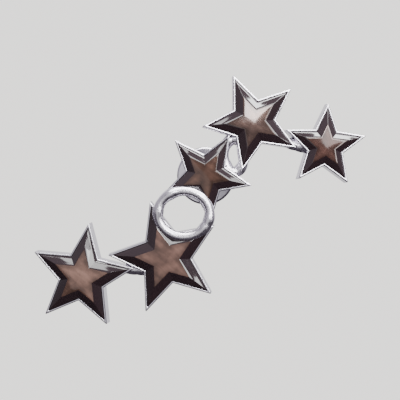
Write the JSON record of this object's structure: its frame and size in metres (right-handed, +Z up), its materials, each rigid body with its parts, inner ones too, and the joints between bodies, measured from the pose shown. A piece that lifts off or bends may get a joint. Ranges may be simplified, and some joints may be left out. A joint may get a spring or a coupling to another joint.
{
  "type": "star ear climber stud earring",
  "caption": "Stud earring: a rising chain of dark faceted stars in silver cups, joined by wire links, worn along the ear lobe on a post with a push-on nut.",
  "frame": {"origin": "where the post meets the back of the middle star, which is where it enters the ear lobe", "axes": "+Y along the post, from the stars into the lobe; +Z up as worn; +X towards the high end of the chain"},
  "size_m": [0.017, 0.0121, 0.0127],
  "materials": {
    "silver": "bright rhodium-white polished silver",
    "dark_plate": "polished dark brown with near-black bevels"
  },
  "bodies": {
    "root": {"silver_frame": "silver", "star_plate_1": "dark_plate", "star_plate_2": "dark_plate", "star_plate_3": "dark_plate", "star_plate_4": "dark_plate", "star_plate_5": "dark_plate", "ear_nut": "silver"}
  },
  "joints": []
}
